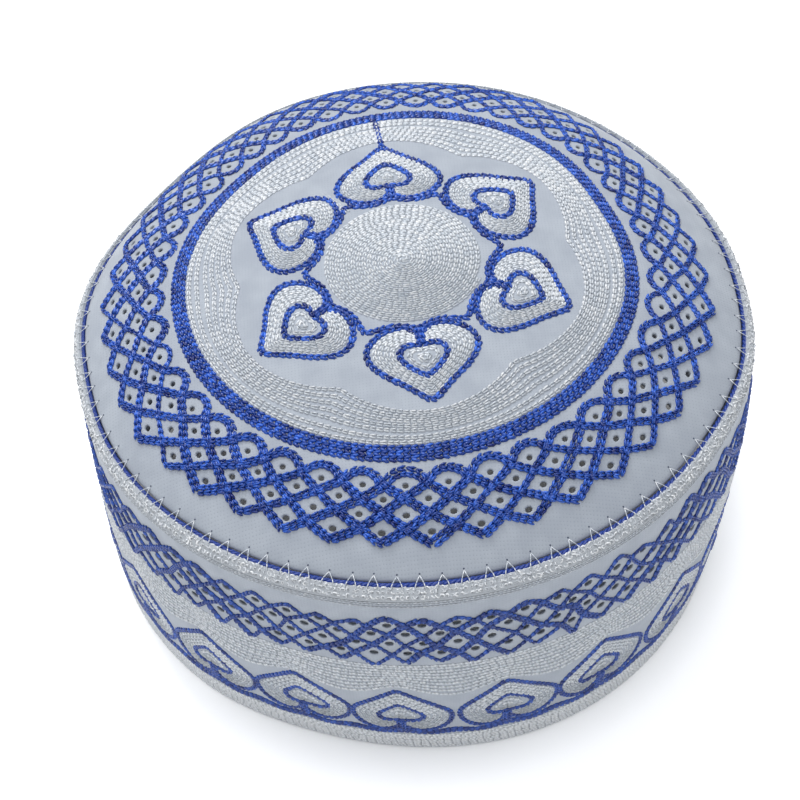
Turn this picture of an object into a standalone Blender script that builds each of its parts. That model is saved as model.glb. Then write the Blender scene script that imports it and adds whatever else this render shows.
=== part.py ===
"""A kufi: a round cloth cap with a domed crown, a tall side band that is open below,
a cord laid in the seam between them and a looped braid round the band's top fold.

Metres, +Z up. The cap stands on its rim at z = 0, with the front towards -Y.
Angles are counted from +X, turning to +Y.
"""

from collections import namedtuple
from math import atan2, cos, exp, hypot, pi, radians, sin

import bmesh
import bpy
from mathutils import Vector

# Driving sizes
seam_radius = 0.0900
band_height = 0.0875
rim_radius = 0.0902
shoulder_overhang = 0.00245
front_overhang = 0.0044
back_overhang = 0.0012
shoulder_round = 0.0022
band_bulge = 0.0010
band_wall = 0.0018
hem_round = 0.0004
crown_rise = 0.0187
crown_wall = 0.0020
cord_diameter = 0.0018
braid_thickness = 0.0007
braid_drop = 0.0022
eyelet_diameter = 0.0019
clearance = 0.0003

# The crown's dome: it falls by a share of its rise out to the embroidered ring, then faster.
# At the back the border stays high for longer and rolls over late.
ring_share = 0.653
ring_drop = 0.254
front_roll = 2.0
back_roll = 4.0
roll_direction = radians(100)
roll_focus = 1.5
crown_ring_shares = (0.20, 0.36, 0.52, 0.653, 0.77, 0.88, 0.95)

# Eyelets of the crown's lattice border that are cut through
eyelet_columns = 45
eyelet_row_shares = (0.886, 0.843)
eyelet_front = radians(270)
eyelet_crowding = radians(6.0)

# Where the lattice border was stitched off centre: its two edges, as shares of the radius
lattice_shares = (0.722, 0.914)
Drift = namedtuple("Drift", "direction spread inner outer")
drifts = (
    Drift(radians(18), radians(13), -0.022, -0.036),
    Drift(radians(75), radians(24), 0.014, 0.000),
    Drift(radians(136), radians(12), -0.010, 0.030),
    Drift(radians(185), radians(30), 0.004, 0.014),
)

# Heights of the band's rows below the shoulder, as shares of the wall's height
band_row_shares = (0.12, 0.30, 0.50, 0.70, 0.87)

# How far the outlines leave the round: lobes, share of the radius, direction of a lobe
Wave = namedtuple("Wave", "lobes share direction")
seam_waves = (Wave(2, 0.004, radians(130)),)
rim_waves = (Wave(2, 0.036, radians(23)), Wave(3, 0.033, radians(55)))

# Soft pushes in the cloth: where, how wide, how far down, how tall, how far out
Push = namedtuple("Push", "direction spread height_share reach_share share")
pushes = (
    Push(radians(-20), radians(8), 0.25, 0.35, 0.016),
    Push(radians(-30), radians(12), 0.60, 0.30, 0.010),
    Push(radians(35), radians(20), 0.05, 0.35, -0.020),
    Push(radians(140), radians(16), 0.00, 0.35, -0.055),
    Push(radians(190), radians(8), 0.20, 0.35, -0.013),
    Push(radians(-135), radians(11), 0.95, 0.35, 0.014),
)

segments = 72
cord_sides = 6
shoulder_steps = 3
eyelet_sides = 6

# The fold hangs out further at the front than at the back: how sharply it gathers there
overhang_power = 1.7

shoulder_radius = seam_radius + shoulder_overhang
edge_radius = seam_radius - clearance / 2
cord_radius = cord_diameter / 2


def crown_height(share):
    """Height of the crown's top face above the seam, at a share of its radius."""
    if share <= ring_share:
        return crown_rise * (1 - ring_drop * (share / ring_share) ** 2)
    past = (share - ring_share) / (1 - ring_share)
    level = crown_rise * (1 - ring_drop)
    return level + outer_slope() * past - (level + outer_slope()) * past**front_roll


def late_roll(angle, share):
    """How much higher than that the top face stands where the border rolls over late."""
    past = max(0.0, (share - ring_share) / (1 - ring_share))
    facing = ((1 + cos(angle - roll_direction)) / 2) ** roll_focus
    power = front_roll + (back_roll - front_roll) * facing
    level = crown_rise * (1 - ring_drop)
    return (level + outer_slope()) * (past**front_roll - past**power)


def outer_slope():
    """Fall of the dome at the ring, over the width of the border outside it."""
    return -2 * ring_drop * crown_rise / ring_share * (1 - ring_share)


def crown_edge_angle():
    """Angle below the horizon at which the crown meets the seam."""
    level = crown_rise * (1 - ring_drop)
    fall = front_roll * (level + outer_slope()) - outer_slope()
    return atan2(fall, seam_radius * (1 - ring_share))


def wall_radius(share):
    """Outer radius of the band at a share of the way from the shoulder to the rim."""
    straight = shoulder_radius + (rim_radius - shoulder_radius) * share
    return straight + band_bulge * sin(pi * share)


def leaning(angle, below):
    """Share of the radius by which the soft outline leaves the round, at a height share."""
    total = 0.0
    for waves, weight in ((seam_waves, 1 - below), (rim_waves, below)):
        for wave in waves:
            total += weight * wave.share * cos(wave.lobes * (angle - wave.direction))
    for push in pushes:
        turn = atan2(sin(angle - push.direction), cos(angle - push.direction))
        across = (turn / push.spread) ** 2
        down = ((below - push.height_share) / push.reach_share) ** 2
        total += push.share * exp(-(across + down) / 2)
    return total


def eased(share):
    """A share from 0 to 1 with a gentle start and end."""
    share = min(1.0, max(0.0, share))
    return share * share * (3 - 2 * share)


def fold_lead(angle, radius, below):
    """How far the band's fold and wall stand out past their mean overhang."""
    facing = ((1 - sin(angle)) / 2) ** overhang_power
    overhang = back_overhang + (front_overhang - back_overhang) * facing
    fold_share = shoulder_round / band_height
    past_lip = (radius - seam_radius - clearance) / shoulder_overhang
    on_fold = eased(below / fold_share) * min(1.0, max(0.0, past_lip))
    on_wall = eased((below - fold_share) / fold_share)
    return (overhang - shoulder_overhang) * max(on_fold, on_wall) * (1 - below)


def soften(mesh):
    """Moves a turned shape's points out or in to the cap's soft outline."""
    for vert in mesh.verts:
        radius = hypot(vert.co.x, vert.co.y)
        if radius == 0:
            continue
        angle = atan2(vert.co.y, vert.co.x)
        below = min(1.0, max(0.0, 1 - vert.co.z / band_height))
        reach = min(1.0, radius / seam_radius) ** 4
        factor = 1 + reach * leaning(angle, below) + fold_lead(angle, radius, below) / radius
        vert.co.x *= factor
        vert.co.y *= factor


def roll_over(mesh):
    """Lifts the crown's border to its late roll, all round."""
    for vert in mesh.verts:
        share = min(1.0, hypot(vert.co.x, vert.co.y) / edge_radius)
        vert.co.z += late_roll(atan2(vert.co.y, vert.co.x), share)


def turned(name, section, closed, shape=None):
    """A solid turned from a section of (radius, height) points, then softened."""
    mesh = bmesh.new()
    verts = [mesh.verts.new((radius, 0, height)) for radius, height in section]
    edges = [mesh.edges.new(pair) for pair in zip(verts, verts[1:])]
    if closed:
        edges.append(mesh.edges.new((verts[-1], verts[0])))
    bmesh.ops.spin(
        mesh,
        geom=verts + edges,
        cent=(0, 0, 0),
        axis=(0, 0, 1),
        angle=2 * pi,
        steps=segments,
        use_merge=True,
    )
    bmesh.ops.remove_doubles(mesh, verts=mesh.verts, dist=1e-6)
    if shape:
        shape(mesh)
    soften(mesh)
    bmesh.ops.recalc_face_normals(mesh, faces=mesh.faces)
    return linked(name, mesh)


def linked(name, mesh):
    data = bpy.data.meshes.new(name)
    mesh.to_mesh(data)
    mesh.free()
    made = bpy.data.objects.new(name, data)
    bpy.context.scene.collection.objects.link(made)
    return made


def crown_section():
    """Top face from the pole to the edge, then the under face back to the pole."""
    shares = (0.0,) + crown_ring_shares + (1.0,)
    top = [(share * edge_radius, band_height + crown_height(share)) for share in shares]
    under = [(radius, height - crown_wall) for radius, height in reversed(top)]
    return top + under


def arc(radius, start, end, steps):
    """Points of the shoulder's fold, at a radius round the fold's own centre."""
    middle = shoulder_radius - shoulder_round
    height = band_height - shoulder_round
    angles = [start + (end - start) * step / steps for step in range(steps + 1)]
    return [(middle + radius * cos(a), height + radius * sin(a)) for a in angles]


def band_section():
    """Outer face from the seam over the shoulder to the rim, then the inner face back."""
    lip = seam_radius + clearance / 2
    drop = band_height - shoulder_round
    outer_rows = [(wall_radius(share), drop * (1 - share)) for share in band_row_shares]
    inner_rows = [(radius - band_wall, height) for radius, height in reversed(outer_rows)]
    foot = wall_radius(1)
    hem = [
        (foot, hem_round),
        (foot - hem_round, 0),
        (foot - band_wall + hem_round, 0),
        (foot - band_wall, hem_round),
    ]
    outer_fold = arc(shoulder_round, pi / 2, 0, shoulder_steps)
    inner_fold = arc(shoulder_round - band_wall, 0, pi / 2, shoulder_steps)
    top = [(lip, band_height)]
    under = [(lip, band_height - band_wall)]
    return top + outer_fold + outer_rows + hem + inner_rows + inner_fold + under


def cord_centre():
    """The cord lies in the valley between the crown's slope and the flat of the fold."""
    reach = cord_radius + clearance
    slope = crown_edge_angle()
    return seam_radius + reach * (1 - cos(slope)) / sin(slope), band_height + reach


def cord_section():
    radius, height = cord_centre()
    turns = [2 * pi * side / cord_sides for side in range(cord_sides)]
    return [(radius + cord_radius * cos(t), height + cord_radius * sin(t)) for t in turns]


def braid_section():
    """A thin pad that wraps the fold, from beside the cord to just below the shoulder."""
    seat = shoulder_round + clearance
    start_radius = cord_centre()[0] + cord_radius + clearance
    across = (start_radius - (shoulder_radius - shoulder_round)) / seat
    start = pi / 2 if across <= 0 else atan2((1 - min(across, 0.95) ** 2) ** 0.5, across)
    low = band_height - shoulder_round - braid_drop
    inner = arc(seat, start, 0, shoulder_steps) + [(shoulder_radius + clearance, low)]
    outer = arc(seat + braid_thickness, start * 0.8, 0, shoulder_steps)
    outer += [(shoulder_radius + clearance + braid_thickness * 0.6, low)]
    return inner + outer[::-1]


def drift(angle, share):
    """How far off centre the lattice lies at an angle, as a share of the radius."""
    across = (share - lattice_shares[0]) / (lattice_shares[1] - lattice_shares[0])
    total = 0.0
    for part in drifts:
        turn = atan2(sin(angle - part.direction), cos(angle - part.direction))
        near = exp(-((turn / part.spread) ** 2) / 2)
        total += near * (part.inner + (part.outer - part.inner) * across)
    return total


def eyelet_cutters():
    """Prisms through the outer rows of the lattice's cells, each row half a cell on.

    The cells were stitched a little wider at the front and closer at the back.
    """
    mesh = bmesh.new()
    for row, row_share in enumerate(eyelet_row_shares):
        for column in range(eyelet_columns):
            turn = 2 * pi * (column + row / 2) / eyelet_columns
            angle = eyelet_front + turn + eyelet_crowding * sin(turn)
            share = row_share + drift(angle, row_share)
            factor = 1 + share**4 * leaning(angle, 0.0)
            radius = share * edge_radius * factor
            top = crown_height(share) + late_roll(angle, share)
            height = band_height + top - crown_wall / 2
            prism = bmesh.ops.create_cone(
                mesh,
                cap_ends=True,
                segments=eyelet_sides,
                radius1=eyelet_diameter / 2,
                radius2=eyelet_diameter / 2,
                depth=4 * crown_wall,
            )
            place = Vector((radius * cos(angle), radius * sin(angle), height))
            bmesh.ops.translate(mesh, verts=prism["verts"], vec=place)
    cutters = linked("eyelet_cutters", mesh)
    cutters.hide_render = True
    cutters.display_type = "WIRE"
    return cutters


def pierced(target, cutters):
    cut = target.modifiers.new("eyelets", "BOOLEAN")
    cut.operation = "DIFFERENCE"
    cut.solver = "EXACT"
    cut.object = cutters


def finished(made, name, color, roughness):
    """Gives an object its cloth or thread and smooth shading with crisp folds."""
    material = bpy.data.materials.new(name)
    material.use_nodes = True
    shader = material.node_tree.nodes["Principled BSDF"]
    shader.inputs["Base Color"].default_value = (*color, 1)
    shader.inputs["Roughness"].default_value = roughness
    shader.inputs["Metallic"].default_value = 0
    made.data.materials.append(material)
    made.data.shade_smooth()
    made.data.set_sharp_from_angle(angle=radians(40))


def centred(objects):
    """Slides the whole cap so that the middle of its box stands on the origin."""
    corners = [vert.co for made in objects for vert in made.data.vertices]
    middle_x = (min(c.x for c in corners) + max(c.x for c in corners)) / 2
    middle_y = (min(c.y for c in corners) + max(c.y for c in corners)) / 2
    for made in objects:
        for vert in made.data.vertices:
            vert.co.x -= middle_x
            vert.co.y -= middle_y


def main():
    for old in list(bpy.data.objects):
        bpy.data.objects.remove(old)
    crown = turned("crown", crown_section(), closed=False, shape=roll_over)
    side_band = turned("side_band", band_section(), closed=True)
    seam_cord = turned("seam_cord", cord_section(), closed=True)
    edge_braid = turned("edge_braid", braid_section(), closed=True)
    cutters = eyelet_cutters()
    centred([crown, side_band, seam_cord, edge_braid, cutters])
    pierced(crown, cutters)
    finished(crown, "white_cotton_crown", (0.53, 0.59, 0.67), 0.85)
    finished(side_band, "white_cotton_band", (0.50, 0.56, 0.64), 0.85)
    finished(seam_cord, "blue_cord", (0.02, 0.05, 0.23), 0.6)
    finished(edge_braid, "white_braid", (0.62, 0.66, 0.71), 0.7)


main()
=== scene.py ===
# %% [markdown]
# A kufi, dressed stitch by stitch. The cap is a round dome of white cotton sewn to a tall
# side band. Both were embroidered flat with chain stitch, then joined with a blue cord in
# the seam and a looped white braid over it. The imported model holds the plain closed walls.
# This file first writes their soft outline as two formulas, a map for the crown and a map
# for the band, so that every thread can be laid on the cloth by an angle and a share.

# %% Load the frame
from collections import namedtuple
from math import cos, gcd, pi, radians, sin

import bmesh
import bpy
import numpy as np
from mathutils import Matrix, Vector


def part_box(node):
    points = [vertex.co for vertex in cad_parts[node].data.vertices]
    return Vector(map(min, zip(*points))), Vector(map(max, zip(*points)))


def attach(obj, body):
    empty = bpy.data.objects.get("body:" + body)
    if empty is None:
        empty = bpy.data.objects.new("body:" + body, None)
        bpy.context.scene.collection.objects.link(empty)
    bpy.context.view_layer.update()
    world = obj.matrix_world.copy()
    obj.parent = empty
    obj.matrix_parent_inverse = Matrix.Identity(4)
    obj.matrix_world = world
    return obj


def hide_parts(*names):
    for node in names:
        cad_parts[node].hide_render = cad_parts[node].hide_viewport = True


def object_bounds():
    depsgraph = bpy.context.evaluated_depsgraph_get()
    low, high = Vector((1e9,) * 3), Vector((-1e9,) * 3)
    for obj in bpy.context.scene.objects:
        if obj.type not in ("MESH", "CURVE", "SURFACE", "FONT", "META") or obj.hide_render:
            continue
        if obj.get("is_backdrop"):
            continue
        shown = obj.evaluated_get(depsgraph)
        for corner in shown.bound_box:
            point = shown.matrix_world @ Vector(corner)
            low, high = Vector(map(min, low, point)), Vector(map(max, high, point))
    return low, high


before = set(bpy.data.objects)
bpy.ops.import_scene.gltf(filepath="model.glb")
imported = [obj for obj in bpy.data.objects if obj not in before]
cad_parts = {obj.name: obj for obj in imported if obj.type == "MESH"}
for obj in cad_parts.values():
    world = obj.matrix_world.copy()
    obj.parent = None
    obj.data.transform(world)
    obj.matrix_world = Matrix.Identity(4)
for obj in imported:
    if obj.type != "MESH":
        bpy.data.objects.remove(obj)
cad_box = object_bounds()
mm = 0.001
cad_size = Vector(cad_box[1]) - Vector(cad_box[0])
print("the packed cap has", len(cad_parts), "nodes")
print("it is", [round(part / mm, 1) for part in cad_size], "mm")

# %% [markdown]
# The camera looks down at the front of the cap from about a forearm away, and leans a
# little to one side. Its axes are written out as three arrows, because a rolled camera is
# easier to read that way than as three turning angles.

# %% Camera
camera_elevation = radians(51.3)
camera_roll = radians(-5.7)
camera_distance = 520 * mm
camera_lens = 80.24
aim = Vector((-3.4, 1.3, 47.0)) * mm

backward = Vector((0, -cos(camera_elevation), sin(camera_elevation)))
upward = Vector((0, sin(camera_elevation), cos(camera_elevation)))
rightward = Vector((1, 0, 0))
camera_x = rightward * cos(camera_roll) + upward * sin(camera_roll)
camera_y = upward * cos(camera_roll) - rightward * sin(camera_roll)
lens = bpy.data.cameras.new("camera")
lens.lens = camera_lens
lens.sensor_width = 36


def placed(name, data):
    """A new object that shows in the scene."""
    made = bpy.data.objects.new(name, data)
    bpy.context.scene.collection.objects.link(made)
    return made


camera = placed("camera", lens)
turned = Matrix((camera_x, camera_y, backward)).transposed().to_4x4()
camera.matrix_world = Matrix.Translation(aim + backward * camera_distance) @ turned
bpy.context.scene.camera = camera
print("the camera stands at", [round(part / mm) for part in camera.location])

# %% [markdown]
# The soft outline follows the same rule as the solids: a turned shape that leaves the
# round by a few slow waves and by soft pushes of the hand. The sizes are real ones, in
# metres, and the shares are of the crown's radius or of the band's height.

# %% Sizes of the cap
seam_radius = 90.0 * mm
band_height = 87.5 * mm
rim_radius = 90.2 * mm
shoulder_overhang = 2.45 * mm
front_overhang = 4.4 * mm
back_overhang = 1.2 * mm
overhang_power = 1.7
shoulder_round = 2.2 * mm
band_bulge = 1.0 * mm
crown_rise = 18.7 * mm
crown_wall = 2.0 * mm
cord_radius = 0.9 * mm
clearance = 0.3 * mm
ring_share = 0.653
ring_drop = 0.254
front_roll = 2.0
back_roll = 4.0
roll_direction = radians(100)
roll_focus = 1.5
shoulder_radius = seam_radius + shoulder_overhang
edge_radius = seam_radius - clearance / 2
fold_share = shoulder_round / band_height

Wave = namedtuple("Wave", "lobes share direction")
seam_waves = (Wave(2, 0.004, 130),)
rim_waves = (Wave(2, 0.036, 23), Wave(3, 0.033, 55))
Push = namedtuple("Push", "direction spread height_share reach_share share")
pushes = (
    Push(-20, 8, 0.25, 0.35, 0.016),
    Push(-30, 12, 0.60, 0.30, 0.010),
    Push(35, 20, 0.05, 0.35, -0.020),
    Push(140, 16, 0.00, 0.35, -0.055),
    Push(190, 8, 0.20, 0.35, -0.013),
    Push(-135, 11, 0.95, 0.35, 0.014),
)


def turn_between(angle, direction):
    """Smallest turn in degrees from a direction to an angle."""
    return (angle - direction + 180) % 360 - 180


def eased(share):
    """A share from 0 to 1 that starts and ends gently."""
    share = np.clip(share, 0, 1)
    return share * share * (3 - 2 * share)


def leaning(angle, below):
    """Share of the radius by which the outline leaves the round."""
    total = np.zeros(np.broadcast(angle, below).shape)
    for waves, weight in ((seam_waves, 1 - below), (rim_waves, below)):
        for wave in waves:
            total = total + weight * wave.share * np.cos(
                np.radians(wave.lobes * (angle - wave.direction))
            )
    for push in pushes:
        across = (turn_between(angle, push.direction) / push.spread) ** 2
        down = ((below - push.height_share) / push.reach_share) ** 2
        total = total + push.share * np.exp(-(across + down) / 2)
    return total


def around(angle, radius, height):
    """Points from an angle in degrees, a radius and a height."""
    turn = np.radians(angle)
    parts = np.broadcast_arrays(radius * np.cos(turn), radius * np.sin(turn), height)
    return np.stack(parts, axis=-1)


print("the outline is", len(pushes), "pushes and", len(seam_waves + rim_waves), "waves off the round")

# %% [markdown]
# The embroidered border sits a little off centre on the real crown: it is closer to the
# edge on one side than on the other. That drift belongs in the map and not in each motif,
# so the cloth's eyelets and every thread over them wander together.

# %% Map of the crown
Drift = namedtuple("Drift", "direction spread inner outer")
drifts = (
    Drift(18, 13, -0.022, -0.036),
    Drift(75, 24, 0.014, 0.000),
    Drift(136, 12, -0.010, 0.030),
    Drift(185, 30, 0.004, 0.014),
)
lattice_shares = (0.725, 0.914)
still_share = 0.50
inside_ring_share = 0.655


def drifted(angle, share):
    """The share at which a stitch of the border really lies, at an angle."""
    inner = np.interp(share, (still_share, inside_ring_share, *lattice_shares), (0, 1, 1, 0))
    outer = np.interp(share, (*lattice_shares, 1.0), (0, 1, 0))
    for drift in drifts:
        near = np.exp(-((turn_between(angle, drift.direction) / drift.spread) ** 2) / 2)
        share = share + near * (drift.inner * inner + drift.outer * outer)
    return share


def crown_height(angle, share):
    """Height of the crown's face above the seam."""
    past = np.maximum(0, (share - ring_share) / (1 - ring_share))
    level = crown_rise * (1 - ring_drop)
    slope = -2 * ring_drop * crown_rise / ring_share * (1 - ring_share)
    facing = ((1 + np.cos(np.radians(angle) - roll_direction)) / 2) ** roll_focus
    power = front_roll + (back_roll - front_roll) * facing
    border = level + slope * past - (level + slope) * past**power
    middle = crown_rise * (1 - ring_drop * (share / ring_share) ** 2)
    return np.where(share <= ring_share, middle, border)


def crown_map(angle, share):
    """Points on the crown's face, before the cap is centred."""
    share = drifted(angle, share)
    radius = share * edge_radius * (1 + share**4 * leaning(angle, 0.0))
    return around(angle, radius, band_height + crown_height(angle, share))


print("the border drifts in", len(drifts), "places")


# %% Map of the band
def band_map(angle, down):
    """Points on the band's outer face, over the fold and down the wall."""
    rise = np.clip(down / fold_share, 0, 1)
    fold_radius = shoulder_radius - shoulder_round * (1 - np.sqrt(1 - (1 - rise) ** 2))
    past = np.maximum(0, (down - fold_share) / (1 - fold_share))
    wall_radius = shoulder_radius + (rim_radius - shoulder_radius) * past
    wall_radius = wall_radius + band_bulge * np.sin(pi * past)
    radius = np.where(down < fold_share, fold_radius, wall_radius)
    return softened(angle, radius, band_height * (1 - down))


def softened(angle, radius, height):
    """Points of the band's side of the cap, moved out to the soft outline."""
    below = np.clip(1 - height / band_height, 0, 1)
    facing = ((1 - np.sin(np.radians(angle))) / 2) ** overhang_power
    overhang = back_overhang + (front_overhang - back_overhang) * facing
    past_lip = np.clip((radius - seam_radius - clearance) / shoulder_overhang, 0, 1)
    lead = np.maximum(eased(below / fold_share) * past_lip, eased((below - fold_share) / fold_share))
    led = (overhang - shoulder_overhang) * lead * (1 - below)
    return around(angle, radius * (1 + leaning(angle, below)) + led, height)


print("the fold ends", round(fold_share * band_height / mm, 2), "mm below the seam")

# %% Centre the maps on the frame
circle = np.arange(0, 360, 1.0)
wall = band_map(circle[:, None], np.linspace(0.001, 1, 60)[None, :]).reshape(-1, 3)
band_box = np.array(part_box("side_band"))
shift = band_box.mean(axis=0) - (wall.min(axis=0) + wall.max(axis=0)) / 2
shift[2] = 0


def crown_at(angle, share):
    """Points on the crown, in the frame."""
    return crown_map(np.asarray(angle, float), np.asarray(share, float)) + shift


def band_at(angle, down):
    """Points on the band, in the frame."""
    return band_map(np.asarray(angle, float), np.asarray(down, float)) + shift


print("the maps move by", np.round(shift / mm, 2), "mm to stand on the frame")

# %% [markdown]
# Colours are kept as the sRGB hex values one would pick by eye, and one function turns
# them to the linear light that a shader mixes.

# %% Colour and node helpers
def linear(hex_colour):
    """An sRGB hex colour as linear RGBA."""
    parts = [int(hex_colour[place : place + 2], 16) / 255 for place in (1, 3, 5)]
    light = [part / 12.92 if part <= 0.04045 else ((part + 0.055) / 1.055) ** 2.4 for part in parts]
    return (*light, 1.0)


def feed(tree, node, inputs):
    """Gives a node its inputs, each a value or another node's output."""
    for name, value in inputs.items():
        if isinstance(value, bpy.types.NodeSocket):
            tree.links.new(value, node.inputs[name])
        else:
            node.inputs[name].default_value = value


def add(tree, kind, inputs=None, **settings):
    """A new node with its settings and its inputs."""
    made = tree.nodes.new(kind)
    for name, value in settings.items():
        setattr(made, name, value)
    feed(tree, made, inputs or {})
    return made


def new_material(name):
    """A material with its Principled shader and its node tree."""
    material = bpy.data.materials.new(name)
    material.use_nodes = True
    return material, material.node_tree, material.node_tree.nodes["Principled BSDF"]


def mottled(tree, pattern, low, high, dark, light):
    """A colour that runs from a dark to a light shade as a pattern rises from low to high."""
    rise = add(tree, "ShaderNodeMapRange", {"Value": pattern, "From Min": low, "From Max": high})
    shades = {"Factor": rise.outputs["Result"], "A": linear(dark), "B": linear(light)}
    return add(tree, "ShaderNodeMix", shades, data_type="RGBA").outputs["Result"]


wave_repeat = 0.314
print("white in linear light is", linear("#ffffff")[:3])
print("a wave texture of scale 1 repeats every", wave_repeat, "m")

# %% [markdown]
# The cloth is a fine white cotton with a small mesh in the weave: rows of tiny pin-prick
# gaps that read as faint dots. It is matt with a soft sheen from loose fibre ends. Single
# yarns are too fine to show from here, so the pattern is as coarse as the mesh. It is made
# of two sets of waves, one for warp and one for weft, and where both peak there is a gap,
# which the bump presses in. A faint cloud keeps the white from being flat. The crown's cloth
# was cut flat, so its weave follows x and y; the band's cloth is wrapped, so its weave
# follows its own UV map, laid out in metres.

# %% Cotton cloth
mesh_spacing = 0.85 * mm
cloud_size = 6.25 * mm
fibre_size = 0.385 * mm
cloth_white = "#a6adb7"
cloth_shade = "#9ca3ae"
cloth_gap = "#9199a5"


def woven_cotton(name, wrapped):
    """Matt white cotton; a wrapped cloth follows its UV map, a flat one its own x and y."""
    material, tree, shader = new_material(name)
    source = add(tree, "ShaderNodeTexCoord").outputs["UV" if wrapped else "Object"]
    waves = []
    for direction in ("X", "Y"):
        wave = add(
            tree,
            "ShaderNodeTexWave",
            {"Vector": source, "Scale": wave_repeat / mesh_spacing, "Distortion": 2.4,
             "Detail": 2.0, "Detail Scale": 1.5},
            wave_type="BANDS",
            bands_direction=direction,
            wave_profile="SIN",
        )
        waves.append(wave.outputs["Fac"])
    weave = add(tree, "ShaderNodeMath", {0: waves[0], 1: waves[1]}, operation="MULTIPLY")
    gap = add(
        tree, "ShaderNodeMapRange", {"Value": weave.outputs[0], "From Min": 0.70, "From Max": 0.95}
    )
    cloud = add(
        tree, "ShaderNodeTexNoise", {"Vector": source, "Scale": 1 / cloud_size, "Detail": 3.0}
    )
    body = mottled(tree, cloud.outputs["Fac"], 0.35, 0.65, cloth_shade, cloth_white)
    mixed = add(
        tree,
        "ShaderNodeMix",
        {"Factor": gap.outputs["Result"], "A": body, "B": linear(cloth_gap)},
        data_type="RGBA",
    )
    fibre = add(
        tree, "ShaderNodeTexNoise", {"Vector": source, "Scale": 1 / fibre_size, "Detail": 2.0}
    )
    height = add(
        tree,
        "ShaderNodeMath",
        {0: fibre.outputs["Fac"], 1: 0.35, 2: weave.outputs[0]},
        operation="MULTIPLY_ADD",
    )
    bump = add(
        tree,
        "ShaderNodeBump",
        {"Strength": 0.22, "Distance": 0.12 * mm, "Height": height.outputs[0]},
        invert=True,
    )
    feed(tree, shader, {
        "Base Color": mixed.outputs["Result"], "Normal": bump.outputs["Normal"],
        "Roughness": 0.88, "IOR": 1.45, "Sheen Weight": 0.2, "Sheen Roughness": 0.5,
    })
    return material


crown_cotton = woven_cotton("woven_cotton_crown", wrapped=False)
band_cotton = woven_cotton("woven_cotton_band", wrapped=True)
print("the gaps of the cloth's mesh are", mesh_spacing / mm, "mm apart")

# %% [markdown]
# Embroidery thread is glossy twisted yarn. Each stitch catches the light on its own, so
# every stitch carries a tone of its own, an attribute from 0 to 1 that picks its shade.
# The twist of the yarn is a fine slanted ribbing that follows each strand, read from a
# second attribute that holds the place along and around the strand; its low bands are
# painted darker, a painted shade in the furrows of the twist. It is drawn a little
# coarser than the real twist, so that it still shows. A strand is painted darker towards
# its ends, a painted shade for where it goes under the next one. Rayon is the glossy thread
# of the blue and white chains, and the cotton of the braid is duller. The band's blue chains
# use a darker copy of the blue rayon, painted shade for the band's dimmer light, and the
# lowest white rows use a duller, lighter copy of the white thread, painted light for the
# foot of the band.

# %% Embroidery thread
twist_spacing = 0.6 * mm


def thread(name, dark, light, roughness, sheen):
    """Twisted yarn whose stitches range from a dark to a light shade."""
    material, tree, shader = new_material(name)
    tone = add(tree, "ShaderNodeAttribute", attribute_name="tone").outputs["Fac"]
    strand = add(tree, "ShaderNodeAttribute", attribute_name="strand").outputs["Vector"]
    twist = add(
        tree,
        "ShaderNodeTexWave",
        {"Vector": strand, "Scale": wave_repeat / twist_spacing, "Distortion": 0.4, "Detail": 1.0},
        wave_type="BANDS",
        bands_direction="DIAGONAL",
        wave_profile="SIN",
    ).outputs["Fac"]
    colour = mottled(tree, tone, 0.0, 1.0, dark, light)
    # Painted shade: each strand is painted darker towards its ends, where it goes under the next one.
    along = add(tree, "ShaderNodeSeparateXYZ", {"Vector": strand}).outputs["X"]
    from_middle = add(tree, "ShaderNodeMath", {0: along}, operation="ABSOLUTE").outputs[0]
    end_shade = add(
        tree,
        "ShaderNodeMapRange",
        {"Value": from_middle, "From Min": 0.35 * mm, "From Max": 1.1 * mm, "To Max": 0.75},
    )
    colour = add(
        tree,
        "ShaderNodeMix",
        {"Factor": end_shade.outputs["Result"], "A": colour, "B": linear(dark)},
        data_type="RGBA",
    ).outputs["Result"]
    # Painted shade: the low bands of the twist are painted darker, as the shade in its furrows.
    groove_shade = add(
        tree,
        "ShaderNodeMix",
        {"Factor": 0.6, "A": colour, "B": (0.5, 0.5, 0.5, 1.0)},
        data_type="RGBA",
        blend_type="MULTIPLY",
    )
    shaded = add(
        tree,
        "ShaderNodeMix",
        {"Factor": twist, "A": groove_shade.outputs["Result"], "B": colour},
        data_type="RGBA",
    )
    bump = add(
        tree, "ShaderNodeBump", {"Strength": 0.5, "Distance": 0.08 * mm, "Height": twist}
    )
    feed(tree, shader, {
        "Base Color": shaded.outputs["Result"], "Normal": bump.outputs["Normal"],
        "Roughness": roughness, "IOR": 1.52, "Sheen Weight": sheen, "Sheen Roughness": 0.35,
    })
    return material


blue_rayon = thread("blue_rayon_thread", "#0a2272", "#3f78ec", 0.26, 0.0)
# Painted shade: a darker copy of the blue rayon, for the band's blue chains in their dimmer light.
shaded_blue_rayon = thread("blue_rayon_thread_painted_shade", "#0c2570", "#3869d0", 0.34, 0.0)
white_rayon = thread("white_rayon_thread", "#cad2dc", "#f8fafd", 0.30, 0.1)
# Painted light: a lighter and duller copy of the white thread, for the lowest rows at the dim foot of
# the band.
lit_white_thread = thread("white_thread_painted_light", "#e2e7ed", "#fcfdfe", 0.7, 0.2)
braid_cotton = thread("white_cotton_braid_yarn", "#c6ccd4", "#f6f8fa", 0.8, 0.3)
cord_yarn = thread("blue_cord_yarn", "#2447a6", "#3a62c8", 0.45, 0.1)
print("the twist of the thread repeats every", twist_spacing / mm, "mm")

# %% [markdown]
# Threads and dimples both need to know which way is up from the cloth. It is found from
# two short steps on a map, one along the way round and one across it.

# %% The way up from the cloth
small_turn = 0.06
small_share = 0.001


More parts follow.
